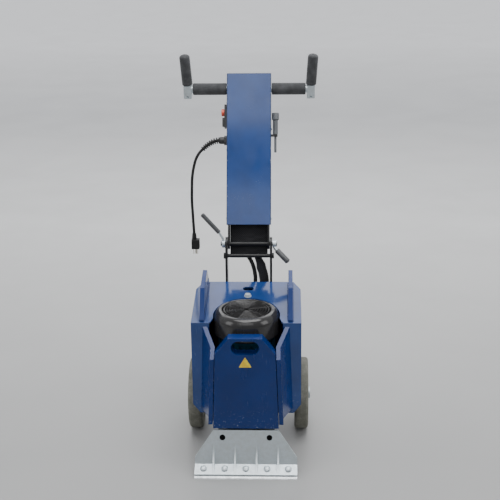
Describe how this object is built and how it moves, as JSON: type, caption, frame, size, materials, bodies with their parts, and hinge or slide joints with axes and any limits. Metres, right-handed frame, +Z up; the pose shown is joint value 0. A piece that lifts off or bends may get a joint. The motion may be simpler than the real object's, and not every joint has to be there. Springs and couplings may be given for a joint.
{
  "type": "walk-behind floor scraper",
  "caption": "Walk-behind electric floor scraper: upright motor shakes a wide front blade, two wheels, folding padded handle column with switch and power lead.",
  "frame": {"origin": "on the floor, under the middle of the machine's bounding box without its power lead", "axes": "+Z up, the blade faces -Y and the operator stands on the +Y side, +X is the right side seen from the blade's end"},
  "size_m": [0.4412, 0.6678, 1.1644],
  "materials": {
    "blue_frame": "thick steel plate, glossy orange-peel powder coat in deep blue",
    "blue_sheet": "bent sheet steel, glossy orange-peel powder coat in deep blue",
    "black_steel": "satin black painted flat steel bar",
    "zinc_steel": "zinc plated steel, satin",
    "blade_steel": "ground spring or bearing steel",
    "carrier_iron": "cast iron, satin dark paint",
    "motor_teal": "ribbed motor body, teal blue enamel",
    "cover_grey": "pressed sheet bell, dark grey semi-gloss paint",
    "fan_plastic": "black moulded polypropylene fan",
    "black_plastic": "moulded black plastic, fine grain",
    "cord_rubber": "black jacket rubber",
    "prong_brass": "plated brass",
    "tyre_rubber": "solid grey-olive rubber",
    "rim_paint": "grey painted pressed steel",
    "foam_grip": "closed-cell foam, matt, fine pores",
    "lever_vinyl": "dipped vinyl, satin grey",
    "textile_sleeve": "woven black textile over cables",
    "red_button": "moulded salmon red plastic",
    "grey_handle": "moulded grey plastic handle on a steel key",
    "warning_yellow": null
  },
  "bodies": {
    "base": {"side_plate_left": "blue_frame", "side_plate_right": "blue_frame", "deck_cover": "blue_sheet", "nose_plate_left": "blue_frame", "nose_plate_right": "blue_frame", "front_weight": "blue_frame", "weight_bracket": "black_steel", "motor_plate": "blue_frame", "rear_brace": "blue_frame", "axle": "zinc_steel", "axle_collars": "zinc_steel", "motor_housing": "motor_teal", "fan_cover": "cover_grey", "terminal_box": "black_plastic", "cable_sleeve": "textile_sleeve", "conduit": "cord_rubber", "handle_rail_left": "black_steel", "handle_rail_right": "black_steel", "frame_bolts": "zinc_steel", "cross_rods": "black_steel", "rubber_mounts": "cord_rubber"},
    "wheel_left": {"tyre_left": "tyre_rubber", "wheel_rim_left": "rim_paint", "wheel_bearing_left": "blade_steel"},
    "wheel_right": {"tyre_right": "tyre_rubber", "wheel_rim_right": "rim_paint", "wheel_bearing_right": "blade_steel"},
    "rotor": {"motor_shaft": "blade_steel", "cooling_fan": "fan_plastic", "eccentric_hub": "blade_steel", "eccentric_bearing": "blade_steel"},
    "blade_head": {"blade_carrier": "carrier_iron", "blade_holder": "zinc_steel", "scraper_blade": "blade_steel", "clamp_strip": "zinc_steel", "head_fasteners": "zinc_steel"},
    "column": {"column_cover": "blue_sheet", "column_spine": "black_steel", "column_screws": "zinc_steel", "cross_bar": "zinc_steel", "bar_grips": "foam_grip", "switch_body": "black_plastic", "cord_gland": "black_plastic", "strain_relief": "cord_rubber", "power_cord": "cord_rubber", "plug_body": "cord_rubber", "plug_prongs": "prong_brass", "cable_boot": "textile_sleeve", "tool_clip": "black_steel"},
    "horn_left": {"horn_left": "zinc_steel", "horn_grip_left": "foam_grip"},
    "horn_right": {"horn_right": "zinc_steel", "horn_grip_right": "foam_grip"},
    "lever_left": {"clamp_lever_left": "zinc_steel", "lever_grip_left": "lever_vinyl"},
    "lever_right": {"clamp_lever_right": "zinc_steel", "lever_grip_right": "lever_vinyl"},
    "stop_button": {"stop_button": "red_button"},
    "start_button": {"start_button": "black_plastic"},
    "hex_tool": {"hex_tool": "grey_handle"}
  },
  "joints": [
    {"name": "wheel_left_spin", "type": "hinge", "parent": "base", "child": "wheel_left", "pos_m": [-0.168, 0.01111, 0.114], "axis": [1, 0, 0], "continuous": true},
    {"name": "wheel_right_spin", "type": "hinge", "parent": "base", "child": "wheel_right", "pos_m": [0.168, 0.01111, 0.114], "axis": [1, 0, 0], "continuous": true},
    {"name": "rotor_spin", "type": "hinge", "parent": "base", "child": "rotor", "pos_m": [0, -0.1219, 0.2], "axis": [0, 0, 1], "continuous": true},
    {"name": "blade_stroke", "type": "slide", "parent": "base", "child": "blade_head", "axis": [0, 1, 0], "range_m": [-0.003, 0.003], "stiffness_N_per_m": 60000, "deforming": ["rubber_mounts"]},
    {"name": "handle_fold", "type": "hinge", "parent": "base", "child": "column", "pos_m": [0, 0.12116, 0.58378], "axis": [1, 0, 0], "range_deg": [-15, 110], "deforming": ["cable_sleeve", "conduit", "cable_boot"]},
    {"name": "horn_left_turn", "type": "hinge", "parent": "column", "child": "horn_left", "pos_m": [-0.198, 0.2952, 1.05103], "axis": [1, 0, 0], "range_deg": [-60, 60]},
    {"name": "horn_right_turn", "type": "hinge", "parent": "column", "child": "horn_right", "pos_m": [0.198, 0.2952, 1.05103], "axis": [1, 0, 0], "range_deg": [-60, 60]},
    {"name": "lever_left_turn", "type": "hinge", "parent": "base", "child": "lever_left", "pos_m": [-0.082, 0.12116, 0.58378], "axis": [1, 0, 0], "range_deg": [0, 100]},
    {"name": "lever_right_turn", "type": "hinge", "parent": "base", "child": "lever_right", "pos_m": [0.082, 0.12116, 0.58378], "axis": [1, 0, 0], "range_deg": [-100, 0]},
    {"name": "stop_button_press", "type": "slide", "parent": "column", "child": "stop_button", "axis": [1, 0, 0], "range_m": [0, 0.003], "stiffness_N_per_m": 600},
    {"name": "start_button_press", "type": "slide", "parent": "column", "child": "start_button", "axis": [1, 0, 0], "range_m": [0, 0.003], "stiffness_N_per_m": 600},
    {"name": "hex_tool_lift", "type": "slide", "parent": "column", "child": "hex_tool", "axis": [0, 0.3453, 0.9385], "range_m": [0, 0.0585]}
  ]
}
